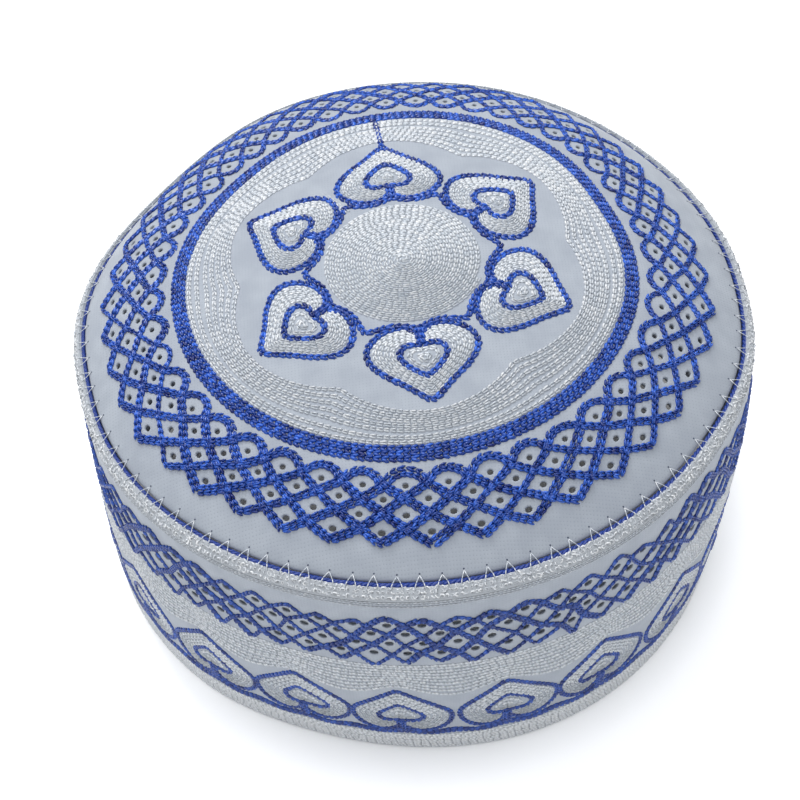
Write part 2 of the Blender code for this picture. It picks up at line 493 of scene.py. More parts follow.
def unit(arrow):
    """Arrows of the same directions, each one unit long."""
    return arrow / np.linalg.norm(arrow, axis=1, keepdims=True)


def arrows(surface, angle, across):
    """Points on a map and the directions that stand up from the cloth there."""
    points = surface(angle, across)
    way = surface(angle + small_turn, across) - points
    down = surface(angle, across + small_share) - points
    up = unit(np.cross(way, down))
    outward = points - shift
    outward[:, 2] = np.maximum(0, points[:, 2] - band_height) + 1e-6
    up *= np.sign(np.einsum("ij,ij->i", up, outward))[:, None]
    return points, up


middle_up = arrows(crown_at, np.array([0.0]), np.array([0.1]))[1]
print("near the crown's middle the way up is", np.round(middle_up[0], 2))

# %% [markdown]
# The crown's cloth starts as one row of points from the middle to the edge, spun round
# into a flat disc of 180 columns, four to each column of the lattice. On the real cap an
# awl punched an eyelet into each cell. Here the face that lies in the middle of a cell is
# inset twice, the second time pressed down into a dish, and its bottom is taken out. The
# disc is then lifted onto the dome, Solidify gives it the thickness of two layers and
# stiffening, and one subdivision rounds the eyelets.

# %% Flat rings of cloth
columns_per_cell = 4


def levels_around(rows, half, others):
    """The rings of a shell: the two sides of each row of eyelets, and the rest."""
    sides = [row + side * half for row in rows for side in (-1, 1)]
    return sorted(sides + list(others))


def spin_round(mesh, steps):
    """Spins all of a mesh right round the upright axis and closes it."""
    bmesh.ops.spin(
        mesh, geom=mesh.verts[:] + mesh.edges[:], axis=(0, 0, 1), cent=(0, 0, 0),
        angle=2 * pi, steps=steps, use_merge=True,
    )
    bmesh.ops.remove_doubles(mesh, verts=mesh.verts, dist=1e-6)


def rotate(mesh, verts, angle, axis):
    """Turns points of a mesh about an axis through the middle."""
    matrix = Matrix.Rotation(angle, 3, axis)
    bmesh.ops.rotate(mesh, verts=verts, cent=(0, 0, 0), matrix=matrix)


def spun(levels, columns, turn=0.0):
    """A flat ring or disc of levels, spun round the middle in equal columns, then turned."""
    mesh = bmesh.new()
    verts = [mesh.verts.new((level, 0, 0)) for level in levels]
    for pair in zip(verts, verts[1:]):
        mesh.edges.new(pair)
    spin_round(mesh, columns)
    rotate(mesh, mesh.verts, radians(turn), "Z")
    return mesh


def half_column(cells):
    """The turn that brings a column's middle to where its edge was."""
    return 360 / cells / columns_per_cell / 2


print("a lattice cell is", columns_per_cell, "columns wide")

# %% Punched eyelets
dish_depth = 0.6 * mm


def punch(mesh, rows, cells, half, edge, dish):
    """Dishes the face in the middle of each lattice cell and takes its bottom out."""
    chosen = []
    step = 360 / cells
    for face in mesh.faces:
        middle = face.calc_center_median()
        level = middle.to_2d().length
        turn = np.degrees(np.arctan2(middle.y, middle.x))
        for number, row in enumerate(rows):
            off = (turn - number % 2 * step / 2) % step
            in_column = min(off, step - off) < half_column(cells) / 2
            if in_column and abs(level - row) < half / 2:
                chosen.append(face)
    bmesh.ops.inset_individual(mesh, faces=chosen, thickness=edge)
    bmesh.ops.inset_individual(mesh, faces=chosen, thickness=dish, depth=-dish_depth)
    bmesh.ops.delete(mesh, geom=chosen, context="FACES")
    return len(chosen)


print("the eyelets are dished", dish_depth / mm, "mm deep")

# %% From a flat ring to a finished piece
least_level = 0.0005


def fit(mesh, surface, turned_to, start):
    """Moves a flat ring onto its map; what was below the plane stays below the cloth."""
    flat = np.array([vert.co for vert in mesh.verts])
    turns = np.degrees(np.arctan2(flat[:, 1], flat[:, 0]))
    levels = np.maximum(np.hypot(flat[:, 0], flat[:, 1]) - start, least_level)
    points, up = arrows(surface, turned_to(turns), levels)
    for vert, place in zip(mesh.verts, points + up * flat[:, 2:]):
        vert.co = place


def finished(name, mesh, material, stands_for=()):
    """Makes a bmesh a mesh, and then a piece of the cap."""
    data = bpy.data.meshes.new(name)
    mesh.to_mesh(data)
    mesh.free()
    return registered(name, data, material, stands_for)


def registered(name, data, material, stands_for=()):
    """Makes a mesh an object that rides on the cap, with its material, and hides the parts it stands
    for.
    """
    data.materials.clear()
    data.materials.append(material)
    data.shade_smooth()
    made = placed(name, data)
    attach(made, "root")
    if stands_for:
        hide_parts(*stands_for)
    return made


def thicken(made, wall):
    """Gives a single layer its wall inwards, then rounds it once."""
    solid = made.modifiers.new("wall", "SOLIDIFY")
    solid.thickness = wall
    solid.offset = -1
    solid.use_even_offset = False
    smooth = made.modifiers.new("soft", "SUBSURF")
    smooth.levels = 1
    smooth.render_levels = 1


print("a level under", least_level, "counts as the middle")

# %% Crown cloth
crown_cells = 45
first_cell = 270.0
crowding = 6.0
eyelet_half = 0.0125
crown_eyelet_rows = (0.886, 0.843, 0.803, 0.766)
crown_levels = levels_around(
    crown_eyelet_rows,
    eyelet_half,
    (0.0, 0.05, 0.10, 0.16, 0.22, 0.28, 0.34, 0.40, 0.46, 0.52, 0.58, 0.63, 0.68, 0.72,
     0.925, 0.95, 0.97, 0.985, 1.0),
)


def stitched_angle(turn):
    """Where a column was stitched: the cells are wider at the front, closer behind."""
    return first_cell + turn + crowding * np.sin(np.radians(turn))


disc = spun(crown_levels, crown_cells * columns_per_cell, half_column(crown_cells))
crown_holes = punch(disc, crown_eyelet_rows, crown_cells, eyelet_half, edge=0.0035, dish=0.0065)
fit(disc, crown_at, stitched_angle, start=0)
crown_cloth = finished("crown_cloth", disc, crown_cotton, ("crown",))
thicken(crown_cloth, crown_wall)
print("the crown has", crown_holes, "eyelets and", len(crown_cloth.data.polygons), "faces")

# %% [markdown]
# The band is made the same way, from a row of points that runs from the seam over the
# fold and down to the rim. Its cloth is wrapped round, so each corner of each face is
# given a UV place: the way round in metres, and the height in metres.

# %% Band cloth
band_cloth_wall = 1.0 * mm
band_cells = 68
band_first = 272.4
band_eyelet_half = 0.0155
band_eyelet_rows = (0.150, 0.201, 0.256, 0.314)
band_eyelet_swell = 0.035
fold_steps = 4
fold_levels = [fold_share * (1 - cos(step / fold_steps * pi / 2)) for step in range(fold_steps + 1)]
band_levels = levels_around(
    band_eyelet_rows,
    band_eyelet_half,
    fold_levels + [0.045, 0.08, 0.12, 0.36, 0.46, 0.56, 0.67, 0.78, 0.88, 0.95, 0.99, 1.0],
)


def band_turn(turn):
    """The columns that hold eyelets are wider than the ones between them."""
    cell = 360 / band_cells
    return band_first + turn + cell * band_eyelet_swell * np.sin(4 * pi * turn / cell)


strip = spun(
    [1 + level for level in band_levels], band_cells * columns_per_cell, half_column(band_cells)
)
band_rings = [1 + row for row in band_eyelet_rows]
band_holes = punch(strip, band_rings, band_cells, band_eyelet_half, edge=0.0006, dish=0.002)
cloth_place = strip.loops.layers.uv.new("cloth")
for face in strip.faces:
    middle = face.calc_center_median()
    face_turn = np.degrees(np.arctan2(middle.y, middle.x))
    for loop in face.loops:
        off = turn_between(np.degrees(np.arctan2(loop.vert.co.y, loop.vert.co.x)), face_turn)
        way = radians(face_turn + off) * shoulder_radius
        loop[cloth_place].uv = (way, (loop.vert.co.to_2d().length - 1) * band_height)
fit(strip, band_at, band_turn, start=1)
band_cloth = finished("band_cloth", strip, band_cotton, ("side_band",))
thicken(band_cloth, band_cloth_wall)
print("the band has", band_holes, "eyelets and", len(band_cloth.data.polygons), "faces")

# %% [markdown]
# A chain stitch is a row of loops, each pulled out of the one before. From above a loop
# is two short strands that start together and open into a V. One link is modelled once,
# as two thin spheres stretched into strands, and then copied along every row. Thousands
# of links are kept cheap by giving a strand only a dozen or so faces and joining all the
# links of one colour in one mesh.

# %% One link of chain
Shape = namedtuple("Shape", "points strand faces")


def read_shape(mesh, strand):
    """A small bmesh as arrays: its points, their places on the strand, its triangles."""
    bmesh.ops.triangulate(mesh, faces=mesh.faces)
    mesh.verts.index_update()
    points = np.array([vert.co for vert in mesh.verts])
    faces = np.array([[vert.index for vert in face.verts] for face in mesh.faces])
    mesh.free()
    return Shape(points, strand, faces)


def link_shape(sides, rings, opening, fatness, reach):
    """A link one unit long along X and one wide along Y: two strands that open."""
    mesh = bmesh.new()
    strand = []
    for side in (-1, 1):
        made = bmesh.ops.create_uvsphere(mesh, u_segments=sides, v_segments=rings + 1, radius=0.5)
        verts = made["verts"]
        rotate(mesh, verts, pi / 2, "Y")
        bmesh.ops.scale(mesh, verts=verts, vec=(reach, fatness, 1))
        strand += [tuple(vert.co) for vert in verts]
        rotate(mesh, verts, side * opening, "Z")
        bmesh.ops.translate(mesh, verts=verts, vec=(0.5, side * (1 - fatness) / 2, 0))
    return read_shape(mesh, np.array(strand))


blue_link = link_shape(sides=4, rings=2, opening=radians(17), fatness=0.58, reach=1.30)
white_link = link_shape(sides=3, rings=2, opening=radians(13), fatness=0.56, reach=1.22)
print("a blue link has", len(blue_link.faces), "faces and a white link", len(white_link.faces))

# %% [markdown]
# A row of stitches follows a path that is drawn on a map as angles and shares. The path
# is measured on the real curved cloth, divided into stitches of equal length, and each
# stitch gets three arrows: along the row, across it and up from the cloth.

# %% Rows of stitches
Row = namedtuple("Row", "start along side up")
dice = np.random.default_rng(11)
full_direction = 250
full_power = 1.5
stitch_unevenness = 0.09


def row(surface, angle, across, length, lift=0.0, aside=0.0, stagger=0.0):
    """Stitches of one length, end to end, on a path over a map."""
    angle, across = np.broadcast_arrays(np.asarray(angle, float), np.asarray(across, float))
    points, up = arrows(surface, angle, across)
    aside = np.broadcast_to(aside, angle.shape)
    steps = np.linalg.norm(np.diff(points, axis=0), axis=1)
    way = np.concatenate(([0], np.cumsum(steps)))
    count = max(1, round(way[-1] / length))
    closed = np.linalg.norm(points[0] - points[-1]) < length / 2
    marks = np.arange(count + 1.0) + (stagger if closed else 0)
    marks[1:-1] += dice.normal(0, stitch_unevenness, count - 1)
    marks = marks * way[-1] / count
    marks = np.where(marks > way[-1] * 1.000001, marks - way[-1], marks)

    def at_marks(values):
        columns = [np.interp(marks, way, column) for column in values.T]
        return np.stack(columns, axis=1)

    raised = unit(at_marks(up))
    places = at_marks(points) + raised * lift
    along = np.diff(places, axis=0)
    side = unit(np.cross(raised[:-1], along))
    start = places[:-1] + side * np.interp(marks[:-1], way, aside)[:, None]
    return Row(start, along, side, raised[:-1])


def fullness(angle, least):
    """How thick a thread lies: whole at the front, down to the least share at the back."""
    facing = (1 + np.cos(np.radians(angle - full_direction))) / 2
    return least + (1 - least) * facing**full_power


def thinned(stitches, least):
    """The same stitches, thinner away from the front, where they were pulled tighter."""
    turn = np.degrees(np.arctan2(stitches.start[:, 1], stitches.start[:, 0]))
    full = fullness(turn, least)[:, None]
    return stitches._replace(side=stitches.side * full, up=stitches.up * full)


def sew(name, shape, rows, width, height, material, stands_for=(), unruly=0.05,
        contrast=1.0):
    """Joins copies of one link along all rows into one mesh."""
    start, along, side, up = (np.concatenate(parts) for parts in zip(*rows))
    count = len(start)
    loose = 1 + dice.normal(0, unruly, (count, 1, 1))
    tilt = dice.normal(0, unruly, (count, 1, 1))
    points = shape.points[None]
    body = start[:, None] + points[..., 0:1] * along[:, None]
    body = body + points[..., 1:2] * width * loose * side[:, None]
    body = body + (points[..., 2:3] + points[..., 1:2] * tilt) * height * up[:, None]
    faces = shape.faces[None] + (np.arange(count) * len(shape.points))[:, None, None]
    data = bpy.data.meshes.new(name)
    data.from_pydata(body.reshape(-1, 3), [], faces.reshape(-1, 3))
    tone = data.attributes.new("tone", "FLOAT", "POINT")
    shades = 0.5 + contrast * (dice.random((count, 1)) / 2 + dice.random((count, 2)) / 2 - 0.5)
    half = np.arange(len(shape.points)) * 2 // len(shape.points)
    tone.data.foreach_set("value", shades[:, half].ravel())
    size = np.array([np.linalg.norm(along, axis=1).mean(), width, height])
    strand = data.attributes.new("strand", "FLOAT_VECTOR", "POINT")
    strand.data.foreach_set("vector", np.tile(shape.strand * size, (count, 1)).ravel())
    made = registered(name, data, material, stands_for)
    print(name, "has", count, "stitches and", len(data.polygons), "faces")
    return made


# %% [markdown]
# The hearts and the waves are drawn from a few given points, joined by a smooth curve.
# Each point is an offset in degrees from the middle of the heart and a share. A heart's
# white filling follows its two outlines: each filling row is a blend of the outer and the
# inner heart, which keeps the rows side by side all the way round.

# %% Curves and hearts
def curve(points, steps=6):
    """A smooth curve through points, with free ends."""
    points = np.asarray(points, float)
    padded = np.vstack([2 * points[0] - points[1], points, 2 * points[-1] - points[-2]])
    t = np.arange(steps)[:, None] / steps
    parts = []
    for a, b, c, d in zip(padded, padded[1:], padded[2:], padded[3:]):
        parts.append(
            0.5 * (2 * b + (c - a) * t + (2 * a - 5 * b + 4 * c - d) * t**2
                   + (3 * b - a - 3 * c + d) * t**3)
        )
    return np.vstack(parts + [points[-1:]])


def heart(half, middle, leaning_by=0.0, uneven=0.0):
    """A whole outline from its half: notch, one lobe, tip, the other lobe, notch."""
    line = curve(half)
    left = line * (uneven - 1, 1)
    whole = np.vstack([left[::-1], line[1:] * (1 + uneven, 1)])
    tip_side = (whole[:, 1] - whole[:, 1].min()) / np.ptp(whole[:, 1])
    whole[:, 0] += middle + leaning_by * tip_side
    return whole


def filling(outer, inner, shares):
    """Lines between two outlines, each a blend of both."""
    return [outer * (1 - share) + inner * share for share in shares]


centre_shares = (0.40, 0.75)


def filled_heart(outer, inner, centre, shares, white_row):
    """White rows round a heart, and two more inside its small heart."""
    rows = []
    for ring in filling(outer, inner, shares):
        rows.append(white_row(ring[:, 0], ring[:, 1], stagger=dice.random()))
    for ring in filling(inner, np.array([centre]), centre_shares):
        rows.append(white_row(ring[:, 0], ring[:, 1]))
    return rows


# %% [markdown]
# Crown embroidery in blue: three rows of chain make the ring, six hearts stand on a wavy
# line round the medallion, and the lattice of crossing rows borders it all. The lattice
# is two fans of zigzag lines that lean opposite ways. Most of its lines were run twice,
# so a second chain lies close beside the first and wanders a little.

# %% Shapes of the crown's motifs
blue_length = 1.9 * mm
blue_width = 1.95 * mm
blue_height = 1.55 * mm
blue_contrast = 1.15
ring_middle = 0.676
ring_pitch = 0.016
ring_narrowing = 0.68
ring_thinning = 0.85
fine_turn = np.linspace(0, 360, 721)
crown_heart_angles = (36.0, 93.4, 152.0, 213.0, 274.7, 334.5)
outer_half = (
    (0, 0.520), (8, 0.465), (17, 0.427), (23, 0.398), (26.4, 0.362), (26, 0.326),
    (22.5, 0.291), (16, 0.268), (9, 0.263), (3, 0.276), (0, 0.300),
)
inner_half = (
    (0, 0.436), (5, 0.410), (9.5, 0.381), (11.3, 0.357), (10, 0.335), (5, 0.322), (0, 0.330),
)
same_outer = (
    (0, 0.520), (8, 0.465), (17, 0.427), (26.4, 0.362), (22.5, 0.291), (9, 0.263), (0, 0.300),
)
stalk_lean = 1.3
stalk_shares = (0.268, 0.325)
stalk_lift = 0.4 * mm
necklace_swing = (
    (0.0, 0.268), (0.13, 0.254), (0.30, 0.257), (0.42, 0.279), (0.50, 0.297), (0.58, 0.279),
    (0.70, 0.259), (0.87, 0.255),
)
blue_stem = ((93.6, 93.2), (0.655, 0.522))


def crown_row(angle, share, length=blue_length, **where):
    """A row on the crown."""
    return row(crown_at, angle, share, length, **where)


print("the crown's blue stitches are", round(blue_length / mm, 2), "mm long")

# %% Crown, blue rows
blue_rows = []
for beside in (-1, 0, 1):
    share = ring_middle + beside * ring_pitch * fullness(fine_turn, ring_narrowing)
    ring_row = crown_row(fine_turn, share, stagger=dice.random())
    blue_rows.append(thinned(ring_row, ring_thinning))
for middle in crown_heart_angles:
    outline = heart(outer_half, middle)
    blue_rows.append(crown_row(outline[:, 0], outline[:, 1]))
    inside = heart(inner_half, middle)
    blue_rows.append(crown_row(inside[:, 0], inside[:, 1]))
    for lean_by in (-stalk_lean, stalk_lean):
        stalk_turns = (middle + lean_by, middle + lean_by / 2)
        blue_rows.append(crown_row(stalk_turns, stalk_shares, lift=stalk_lift))
heart_turns = crown_heart_angles + (crown_heart_angles[0] + 360,)
necklace_points = []
for left, right in zip(heart_turns, heart_turns[1:]):
    for way_share, share in necklace_swing:
        necklace_points.append((left + (right - left) * way_share, share))
necklace_points.append((heart_turns[-1], necklace_swing[0][1]))
necklace = curve(necklace_points)
blue_rows.append(crown_row(necklace[:, 0], necklace[:, 1]))
blue_rows.append(crown_row(*blue_stem))
sew(
    "crown_blue_chains", blue_link, blue_rows, blue_width, blue_height, blue_rayon,
    contrast=blue_contrast,
)

# %% Lines of a lattice
gap_wander = 0.3
lattice_lift = 0.3 * mm


def wander(count, amount, knots=8, closed=False):
    """A slow random drift along a path, from a few random knots."""
    offs = dice.normal(0, amount, knots)
    if closed:
        offs[-1] = offs[0]
    return np.interp(np.linspace(0, knots - 1, count), np.arange(knots), offs)


def zigzag_leg(first, levels, nodes, shoulder):
    """One bend of a zigzag, from an outer tip to a rounded inner tip and back."""
    reach = len(levels) - 1
    points = []
    for number in range(2 * reach + 1):
        level = reach - abs(reach - number)
        off_turn, off_level = nodes[level, (first + number) % nodes.shape[1]]
        points.append(np.array((first + number + off_turn, levels[level] + off_level)))
    before, tip, after = points[reach - 1 : reach + 2]
    shoulders = [(beside + (tip - beside) * shoulder) for beside in (before, after)]
    return curve(points[:reach] + [shoulders[0], tip, shoulders[1]] + points[reach + 1 :], steps=5)


def lattice(surface, place, cells, levels, jitter, shoulder, twin, spread, length, least=1.0):
    """A lattice of closed zigzags, with a second row beside a share of their legs."""
    nodes = dice.normal(0, 1, (len(levels), 2 * cells, 2)) * jitter
    reach = len(levels) - 1
    rounds = gcd(reach, cells)
    rows = []
    for first in range(rounds):
        starts = 2 * (first + reach * np.arange(cells // rounds))
        legs = [zigzag_leg(start, levels, nodes, shoulder) for start in starts]
        joined = np.vstack([leg[:-1] for leg in legs] + [legs[-1][-1:]])
        second = [leg for leg in legs if dice.random() < twin]
        for side, lines in ((-1, [joined]), (1, second)):
            for line in lines:
                gap = spread / 2 * (1 + wander(len(line), gap_wander, 2 + len(line) // 12))
                turn = place(line[:, 0] * 180 / cells)
                made = row(surface, turn, line[:, 1], length, lift=dice.uniform(0, lattice_lift),
                           aside=side * gap * fullness(turn, least))
                rows.append(thinned(made, least))
    return rows


print("the rows of a lattice lie up to", round(lattice_lift / mm, 2), "mm above the cloth")

# %% Crown, blue lattice
lattice_levels = np.linspace(lattice_shares[1], lattice_shares[0], 6)
lattice_jitter = (0.05, 0.0018)
round_shoulder = np.array((0.36, 0.66))
lattice_width = 1.55 * mm
crown_lattice_rows = lattice(
    crown_at, stitched_angle, crown_cells, lattice_levels, lattice_jitter, round_shoulder,
    twin=0.95, spread=1.1 * mm, length=blue_length, least=0.6,
)
sew(
    "crown_blue_lattice", blue_link, crown_lattice_rows, lattice_width, blue_height, blue_rayon,
    contrast=blue_contrast,
)

# %% [markdown]
# Crown embroidery in white: the medallion is one long spiral of chain, laid in parts so
# that the stitches of neighbouring turns don't line up in spokes. The hearts are
# filled with rows that follow their outline. Inside the blue ring two rows that hardly dip
# are followed by five that dip more and more between the hearts.

# %% Crown, white medallion and hearts
white_length = 1.75 * mm
white_width = 1.45 * mm
white_height = 1.1 * mm
white_pitch = 1.42 * mm
medallion_share = 0.236
first_spiral_turn = 0.35
part_turns = (0.6, 1.5)
points_per_part = 160
heart_fill_shares = (0.23, 0.41, 0.59, 0.77)
heart_centre_share = 0.372


def white_crown_row(angle, share, **where):
    """A row of white stitches on the crown."""
    return crown_row(angle, share, white_length, **where)


turns_of_spiral = medallion_share * edge_radius / white_pitch
white_rows = []
spiral_turn = first_spiral_turn
while spiral_turn < turns_of_spiral:
    spiral_end = spiral_turn + dice.uniform(*part_turns)
    part = np.linspace(spiral_turn, min(spiral_end, turns_of_spiral), points_per_part)
    white_rows.append(white_crown_row(360 * part, part * white_pitch / edge_radius))
    spiral_turn = spiral_end
for middle in crown_heart_angles:
    outer = heart(same_outer, middle)
    inner = heart(inner_half, middle)
    centre = (middle, heart_centre_share)
    white_rows += filled_heart(outer, inner, centre, heart_fill_shares, white_crown_row)
print("the medallion's spiral has", round(turns_of_spiral, 1), "turns")

# %% Crown, white rows inside the ring
Dip = namedtuple("Dip", "share depth")
plain_rows = (Dip(0.643, 0.0), Dip(0.628, 0.010))
upper_row = Dip(0.607, 0.018)
lower_row = Dip(0.552, 0.057)
dipping_rows = 5
dip_power = 1.8
white_jump = ((123.5, 124.0), (0.66, 0.27))

turned_turn = fine_turn + heart_turns[0]
from_heart = np.interp(turned_turn, heart_turns, np.arange(len(heart_turns))) % 1
dip = (1 - np.abs(2 * from_heart - 1)) ** dip_power
for plain in plain_rows:
    share = plain.share - plain.depth * dip
    white_rows.append(white_crown_row(turned_turn, share, stagger=dice.random()))
upper = upper_row.share - upper_row.depth * dip
lower = lower_row.share - lower_row.depth * dip
for share in filling(upper, lower, np.linspace(0, 1, dipping_rows)):
    white_rows.append(white_crown_row(turned_turn, share, stagger=dice.random()))
white_rows.append(white_crown_row(*white_jump))
sew(
    "crown_white_chains", white_link, white_rows, white_width, white_height, white_rayon,
)

# %% [markdown]
# The band carries the same motifs in a finer hand: a lattice of single and double rows
# with uneven cells, rows of white chain with a wavy lower edge, twenty hearts that stand
# side by side on a doubled wavy line, and more white rows down to the rim.

# %% Shapes of the band's motifs
band_blue_length = 1.65 * mm
band_blue_width = 1.65 * mm
band_blue_height = 1.1 * mm
heart_uneven = 0.04
inner_uneven = 0.10
band_heart_count = 20
band_heart_first = 262.0
band_outer_half = (
    (0, 0.553), (2.8, 0.600), (6.3, 0.660), (8.2, 0.700), (8.6, 0.740), (7.9, 0.790),
    (6.0, 0.830), (3.6, 0.843), (1.4, 0.828), (0.3, 0.795),
)
band_same_outer = (
    (0, 0.553), (3.2, 0.607), (8.2, 0.700), (8.6, 0.745), (6.0, 0.830), (3.2, 0.843), (0.3, 0.795),
)
band_inner_half = (
    (0, 0.650), (1.9, 0.682), (3.6, 0.718), (3.9, 0.745), (2.9, 0.768), (1.2, 0.768), (0, 0.762),
)
stem_sides = (-0.35, 0.45)
stem_downs = np.array((0.770, 0.842))
stem_lift = 0.3 * mm
Wavy = namedtuple("Wavy", "down sway")
base_lines = (Wavy(0.856, 0.010), Wavy(0.866, 0.006))
base_wander = 0.003
base_knots = 20
Strays = namedtuple("Strays", "turn down outer_lean inner_lean")
heart_strays = Strays(0.3, 0.008, 0.6, 0.4)


def band_row(angle, down, length=band_blue_length, **where):
    """A row on the band."""
    return row(band_at, angle, down, length, **where)


print("the band's hearts are", 360 / band_heart_count, "degrees apart")

# %% Band, blue rows
heart_hand = dice.normal(0, 1, (band_heart_count, len(heart_strays))) * heart_strays
band_blue_rows = []
band_hearts = []
for number in range(band_heart_count):
    off_turn, off_down, lean_outer, lean_inner = heart_hand[number]
    middle = band_heart_first + 360 / band_heart_count * number + off_turn
    shift_down = (0, off_down)
    outer = heart(band_outer_half, middle, lean_outer, heart_uneven) + shift_down
    inner = heart(band_inner_half, middle, lean_inner, inner_uneven) + shift_down
    fill_outer = heart(band_same_outer, middle, lean_outer, heart_uneven) + shift_down
    band_hearts.append((fill_outer, inner, middle, off_down))
    band_blue_rows.append(band_row(outer[:, 0], outer[:, 1]))
    band_blue_rows.append(band_row(inner[:, 0], inner[:, 1]))
    for beside in stem_sides:
        band_blue_rows.append(band_row(middle + beside, stem_downs + off_down, lift=stem_lift))
base_turn = np.linspace(0, 360, 1441)
from_tip = (base_turn - band_heart_first) * band_heart_count / 360 % 1
for line in base_lines:
    strays = wander(len(base_turn), base_wander, base_knots, closed=True)
    down = line.down - line.sway * np.cos(4 * pi * from_tip) + strays
    band_blue_rows.append(band_row(base_turn, down))
sew(
    "band_blue_chains", blue_link, band_blue_rows, band_blue_width, band_blue_height, shaded_blue_rayon,
)

# %% Band, blue lattice
band_lattice_levels = np.array((0.375, 0.315, 0.260, 0.205, 0.150, 0.105))
band_lattice_jitter = (0.12, 0.008)
band_lattice_width = 1.25 * mm
slight_shoulder = np.array((0.47, 0.53))


def band_lattice_turn(turn):
    """The bottom tips lie half a cell from the top tips."""
    return band_first + turn + 180 / band_cells


band_lattice_rows = lattice(
    band_at, band_lattice_turn, band_cells, band_lattice_levels, band_lattice_jitter,
    slight_shoulder, twin=0.4, spread=0.8 * mm, length=1.8 * mm,
)
sew(
    "band_blue_lattice", blue_link, band_lattice_rows, band_lattice_width, band_blue_height,
    shaded_blue_rayon,
)

# %% Band, white rows
band_white_length = 2.2 * mm
band_white_height = 0.8 * mm
band_white_contrast = 0.7
white_row_step = 0.0145
white_wander = 0.0012
white_knots = 24
upper_start = 0.393
upper_count = 10
upper_fall = 0.062
upper_fall_power = 1.5
upper_scallop_power = 1.4
lower_start = 0.893
lower_count = 7
band_fill_shares = (0.22, 0.42, 0.62, 0.82)
band_centre_down = 0.728


def white_band_row(angle, down, **where):
    """A row of white stitches on the band."""
    return band_row(angle, down, band_white_length, **where)


def wandering_row(down):
    """A white row all the way round, with a slow drift."""
    strayed = down + wander(len(base_turn), white_wander, white_knots, closed=True)
    return white_band_row(base_turn, strayed, stagger=dice.random())


scallop = np.abs(np.sin(pi * from_tip)) ** upper_scallop_power
band_white_upper = []
for number in range(upper_count):
    fall = upper_fall * (number / (upper_count - 1)) ** upper_fall_power * scallop
    band_white_upper.append(wandering_row(upper_start + white_row_step * number + fall))
band_white_lower = []
for number in range(lower_count):
    band_white_lower.append(wandering_row(lower_start + white_row_step * number))
band_white_hearts = []
for fill_outer, inner, middle, off_down in band_hearts:
    centre = (middle, band_centre_down + off_down)
    band_white_hearts += filled_heart(fill_outer, inner, centre, band_fill_shares, white_band_row)
for name, rows, width, yarn in (
    ("band_white_upper", band_white_upper, 1.05 * mm, white_rayon),
    ("band_white_lower", band_white_lower, 1.25 * mm, lit_white_thread),
    ("band_white_hearts", band_white_hearts, 1.15 * mm, white_rayon),
):
    sew(
        name, white_link, rows, width, band_white_height, yarn,
        contrast=band_white_contrast,
    )

# %% [markdown]
# A cord of twisted blue yarn lies in the seam. Three plies wind round each other, each a
# thin tube on its own helix, which reads as rope from any side. The zigzag pulls the cord
# down into the seam, a little at the front and more at the back.

# %% Seam cord
cord_seat = cord_radius + clearance
cord_aside = 0.353 * mm
plies = 3
cord_twists = 132
ply_radius = 0.48 * mm
steps_per_twist = 6
front_sink = 1.55 * mm
back_sink = 2.6 * mm
sink_power = 0.5


def behind(turn):
    """How far back a place lies: 0 at the front of the cap, 1 at its back."""
    return (1 + np.sin(np.radians(turn))) / 2


def cord_sink(turn):
    """How far the zigzag has pulled the cord down into the seam."""
    return front_sink + (back_sink - front_sink) * behind(turn) ** sink_power


def ply_points(number):
    """The helix of one ply, all the way round the seam."""
    turn = np.linspace(0, 360, cord_twists * steps_per_twist, endpoint=False)
    wind = np.radians(turn * cord_twists) + 2 * pi * number / plies
    swing = cord_radius - ply_radius
    radius = seam_radius + cord_aside + swing * np.cos(wind)
    points = softened(turn, radius, band_height + cord_seat + swing * np.sin(wind))
    return points + shift - cord_sink(turn)[:, None] * (0, 0, 1)


cord_curve = bpy.data.curves.new("seam_cord_plies", "CURVE")
cord_curve.dimensions = "3D"
cord_curve.bevel_depth = ply_radius
cord_curve.bevel_resolution = 0
cord_curve.resolution_u = 1
for number in range(plies):
    points = ply_points(number)
    spline = cord_curve.splines.new("POLY")
    spline.points.add(len(points) - 1)
    spline.points.foreach_set("co", np.column_stack([points, np.ones(len(points))]).ravel())
    spline.use_cyclic_u = True
holder = bpy.data.objects.new("seam_cord_plies", cord_curve)
cord_mesh = bpy.data.meshes.new_from_object(holder)
bpy.data.objects.remove(holder)
registered("twisted_seam_cord", cord_mesh, cord_yarn, ("seam_cord",))
print("the cord has", len(cord_mesh.polygons), "faces")

# %% [markdown]
# The white braid over the fold is a narrow tape covered in small loops, a little fluffy.
# One loop is a thin ring spun from a small circle. The loops lie in rows over the fold,
# each turned and sized at random, and a few long straight threads hold the braid's lower
# edge down.

# %% Looped braid
def loop_shape(around_steps, sides, thickness):
    """A ring one unit wide that lies in the XY plane, spun from a small circle."""
    mesh = bmesh.new()
    made = bmesh.ops.create_circle(mesh, segments=sides, radius=thickness / 2)
    rotate(mesh, made["verts"], pi / 2, "X")
    bmesh.ops.translate(mesh, verts=made["verts"], vec=(0.5 - thickness / 2, 0, 0))
    spin_round(mesh, around_steps)
    bmesh.ops.recalc_face_normals(mesh, faces=mesh.faces)
    strand = np.array([vert.co for vert in mesh.verts])
    return read_shape(mesh, strand)


fuller = 1.3
further = 1.25


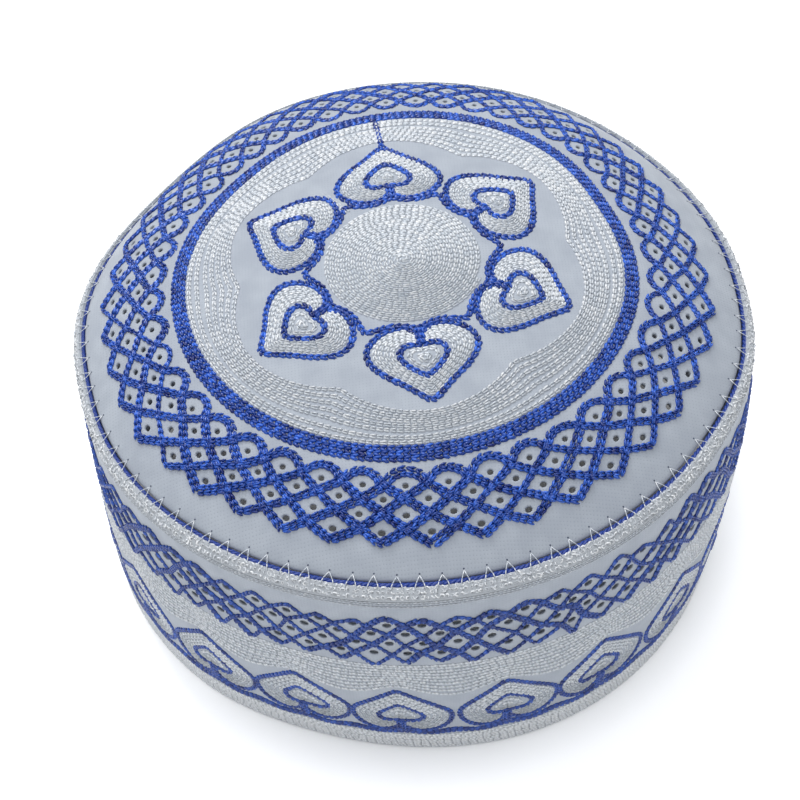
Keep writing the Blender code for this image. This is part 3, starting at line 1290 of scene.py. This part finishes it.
def thread_shape(sides):
    """A straight thread one unit long along X: a ball whose two outer rings are filled out."""
    mesh = bmesh.new()
    made = bmesh.ops.create_uvsphere(mesh, u_segments=sides, v_segments=4, radius=0.5)
    rotate(mesh, made["verts"], pi / 2, "Y")
    for vert in made["verts"]:
        if 0.1 < abs(vert.co.x) < 0.45:
            vert.co.x *= further
            vert.co.y *= fuller
            vert.co.z *= fuller
    bmesh.ops.translate(mesh, verts=made["verts"], vec=(0.5, 0, 0))
    strand = np.array([vert.co for vert in mesh.verts])
    return read_shape(mesh, strand)


loop = loop_shape(around_steps=7, sides=3, thickness=0.40)
straight = thread_shape(sides=4)
print("a loop of the braid has", len(loop.faces), "faces and a straight thread", len(straight.faces))

# %% Tape under the loops
tape_levels = (0.0014, 0.003, 0.007, 0.012, 0.017, 0.022)
tape_columns = 180
tape_lift = 0.4 * mm
tape_wall = 0.6 * mm
tape = spun([1 + level for level in tape_levels], tape_columns)
for vert in tape.verts:
    vert.co.z = tape_lift
fit(tape, band_at, band_turn, start=1)
tape_cloth = finished("braid_tape", tape, braid_cotton)
thicken(tape_cloth, tape_wall)
print("the tape has", len(tape_cloth.data.polygons), "faces")

# %% Loops and straight threads of the braid
braid_pitch = 1.2 * mm
loop_size = 1.45 * mm
loop_height = 1.5 * mm
loop_tilt = 0.5
loop_twist = 0.9
loop_lengths = (0.8, 1.5)
loop_widths = (0.5, 1.0)
lowered_behind = 0.012
LoopRow = namedtuple("LoopRow", "down lift")
loop_places = (
    LoopRow(0.003, 0.15 * mm), LoopRow(0.008, 0.3 * mm), LoopRow(0.015, 0.3 * mm),
)
loop_rows = []
for place in loop_places:
    lowered = place.down + lowered_behind * behind(base_turn) ** 2
    base = band_row(base_turn, lowered, braid_pitch, lift=place.lift, stagger=dice.random())
    count = len(base.start)
    forward = unit(base.along)
    up = base.up + base.side * dice.normal(0, loop_tilt, (count, 1))
    up = unit(up + forward * dice.normal(0, loop_tilt, (count, 1)))
    twist = dice.uniform(-loop_twist, loop_twist, (count, 1))
    forward = forward * np.cos(twist) + base.side * np.sin(twist)
    side = unit(np.cross(up, forward))
    long = dice.uniform(*loop_lengths, (count, 1))
    wide = dice.uniform(*loop_widths, (count, 1))
    loop_rows.append(Row(base.start, np.cross(side, up) * loop_size * long, side * wide, up))
sew(
    "looped_edge_braid", loop, loop_rows, loop_size, loop_height, braid_cotton,
    ("edge_braid",), unruly=0.12,
)
straight_length = 4.5 * mm
straight_width = 0.34 * mm
straight_height = 0.4 * mm
straight_lift = 0.02 * mm
straight_sway = 0.001
lower_threads = []
for down in (0.027, 0.036, 0.046):
    swayed = down + wander(len(base_turn), straight_sway, white_knots, closed=True)
    lower_threads.append(
        band_row(base_turn, swayed, straight_length, lift=straight_lift, stagger=dice.random())
    )
sew(
    "braid_threads", straight, lower_threads, straight_width, straight_height, braid_cotton,
)

# %% [markdown]
# A zigzag of fine white thread ties the crown's edge to the braid. Each V starts in a pin
# hole in the crown, and its two legs run over the cord. A leg is two short straight
# threads, and each pin hole is a small flattened ball at the tip, painted dark as the
# shade inside the hole.

# %% Zigzag
zigzag_count = 101
tip_share = 0.983
tip_lift = 0.1 * mm
over_cord = 0.95 * mm
over_aside = 0.5 * mm
sink_followed = 0.6
foot_spread = 0.95
foot_down = 0.007
foot_lift = 0.7 * mm
turn_stray = 0.15
share_stray = 0.0015
foot_stray = 0.1
zigzag_width = 0.3 * mm


def legs(points_a, points_b):
    """Stitches that run straight from one set of points to another."""
    along = points_b - points_a
    up = np.tile((0.0, 0.0, 1.0), (len(along), 1))
    side = unit(np.cross(up, along))
    return Row(points_a, along, side, unit(np.cross(along, side)))


even_turn = np.arange(zigzag_count) * 360 / zigzag_count
tip_turn = even_turn + dice.normal(0, turn_stray, zigzag_count)
tip_shares = tip_share + dice.normal(0, share_stray, zigzag_count)
tips, tip_up = arrows(crown_at, tip_turn, tip_shares)
zigzag_rows = []
for side in (-1, 1):
    foot_turn = tip_turn + side * foot_spread * (1 + dice.normal(0, foot_stray, zigzag_count))
    middle_turn = (tip_turn + foot_turn * 2) / 3
    sunk = sink_followed * (cord_sink(middle_turn) - front_sink)
    over = softened(middle_turn, seam_radius + over_aside, band_height + over_cord - sunk) + shift
    feet = band_at(foot_turn, np.full(zigzag_count, foot_down)) + (0, 0, foot_lift)
    zigzag_rows.append(legs(tips + tip_up * tip_lift, over))
    zigzag_rows.append(legs(over, feet))
sew(
    "zigzag_thread", straight, zigzag_rows, zigzag_width, zigzag_width, white_rayon
)
print(zigzag_count, "zigzags tie the crown to the braid")

# %% Pin holes
pin_radius = 0.26 * mm
pin_flatness = 0.3
pin_inset = 0.0035
pins, pin_up = arrows(crown_at, tip_turn, tip_shares - pin_inset)
pin_mesh = bmesh.new()
for pin, up in zip(pins, pin_up):
    made = bmesh.ops.create_icosphere(pin_mesh, subdivisions=1, radius=pin_radius)
    turn_up = Vector((0, 0, 1)).rotation_difference(Vector(up)).to_matrix()
    bmesh.ops.scale(pin_mesh, verts=made["verts"], vec=(1, 1, pin_flatness))
    bmesh.ops.rotate(pin_mesh, verts=made["verts"], cent=(0, 0, 0), matrix=turn_up)
    bmesh.ops.translate(pin_mesh, verts=made["verts"], vec=Vector(pin))
# Painted shade: the pin holes are coloured dark, as the shade inside each hole.
hole_grain = 0.2 * mm
hole_shade, hole_tree, hole_shader = new_material("shadowed_needle_hole")
hole_place = add(hole_tree, "ShaderNodeTexCoord").outputs["Object"]
hole_noise = add(
    hole_tree, "ShaderNodeTexNoise", {"Vector": hole_place, "Scale": 1 / hole_grain}
).outputs["Fac"]
hole_colour = mottled(hole_tree, hole_noise, 0.3, 0.7, "#3a4152", "#5a6376")
feed(hole_tree, hole_shader, {"Base Color": hole_colour, "Roughness": 0.95})
finished("needle_holes", pin_mesh, hole_shade)
print("each pin hole is", round(2 * pin_radius / mm, 2), "mm wide")

# %% [markdown]
# The stage is a plain white board under soft light from all round. The board glows a
# little as painted light: the glow is faint under the cap and stronger from just outside
# it, which lifts the floor round the cap and the foot of the band. A wide softbox above
# lights the crown more than the band, one small lamp behind the cap gives the threads
# their glints, and a weak one low in front lifts the foot of the band.

# %% Floor
board_half = 6.0
floor_mesh = bmesh.new()
bmesh.ops.create_grid(floor_mesh, x_segments=1, y_segments=1, size=board_half)
floor_data = bpy.data.meshes.new("floor")
floor_mesh.to_mesh(floor_data)
floor_mesh.free()
floor = placed("floor", floor_data)
board_cloud = 4.0
floor_paint, floor_tree, floor_shader = new_material("matt_white_board")
floor_place = add(floor_tree, "ShaderNodeTexCoord").outputs["Object"]
floor_noise = add(
    floor_tree, "ShaderNodeTexNoise", {"Vector": floor_place, "Scale": 1 / board_cloud}
).outputs["Fac"]
floor_colour = mottled(floor_tree, floor_noise, 0.3, 0.7, "#f7f8f9", "#fafbfc")
# Painted light: the board glows faintly under the cap and strongly from just outside it.
from_middle = add(floor_tree, "ShaderNodeVectorMath", {0: floor_place}, operation="LENGTH")
painted_floor_glow = add(
    floor_tree,
    "ShaderNodeMapRange",
    {"Value": from_middle.outputs["Value"], "From Min": 80 * mm, "From Max": 100 * mm,
     "To Min": 0.045, "To Max": 0.38},
)
feed(floor_tree, floor_shader, {
    "Base Color": floor_colour, "Roughness": 0.9, "Emission Color": (1, 1, 1, 1),
    "Emission Strength": painted_floor_glow.outputs["Result"],
})
floor_data.materials.append(floor_paint)
floor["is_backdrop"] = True
print("the board is", 2 * board_half, "m wide")

# %% Light
lit_point = Vector((0, 0, 0.05))
sky = bpy.data.worlds.new("soft_studio")
sky.use_nodes = True
sky_light = {"Color": (0.96, 0.98, 1.0, 1.0), "Strength": 0.43}
feed(sky.node_tree, sky.node_tree.nodes["Background"], sky_light)
bpy.context.scene.world = sky


def lamp(name, place, size, power):
    """A square soft lamp that faces the cap."""
    light = bpy.data.lights.new(name, "AREA")
    light.size = size
    light.energy = power
    made = placed(name, light)
    made.location = place
    made.rotation_euler = (lit_point - Vector(place)).to_track_quat("-Z", "Y").to_euler()


lamp("overhead_softbox", place=(-0.15, 0.25, 1.5), size=2.0, power=23.0)
lamp("glint_lamp", place=(-0.35, 0.75, 1.05), size=0.3, power=5.0)
lamp("low_front_fill", place=(0.15, -1.3, 0.12), size=0.8, power=0.9)
bpy.context.scene.view_settings.view_transform = "Standard"
print("the stage is lit by three lamps and the sky")

# %% [markdown]
# The crown is a round cut from a square of cloth, and the band is one long strip with a
# turning at its fold and at its rim. Last, the dressed cap's size is printed, to set
# beside the packed cap's size printed at the start.

dressed_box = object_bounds()
dressed_size = Vector(dressed_box[1]) - Vector(dressed_box[0])
print("the dressed cap is", [round(part / mm, 1) for part in dressed_size], "mm")
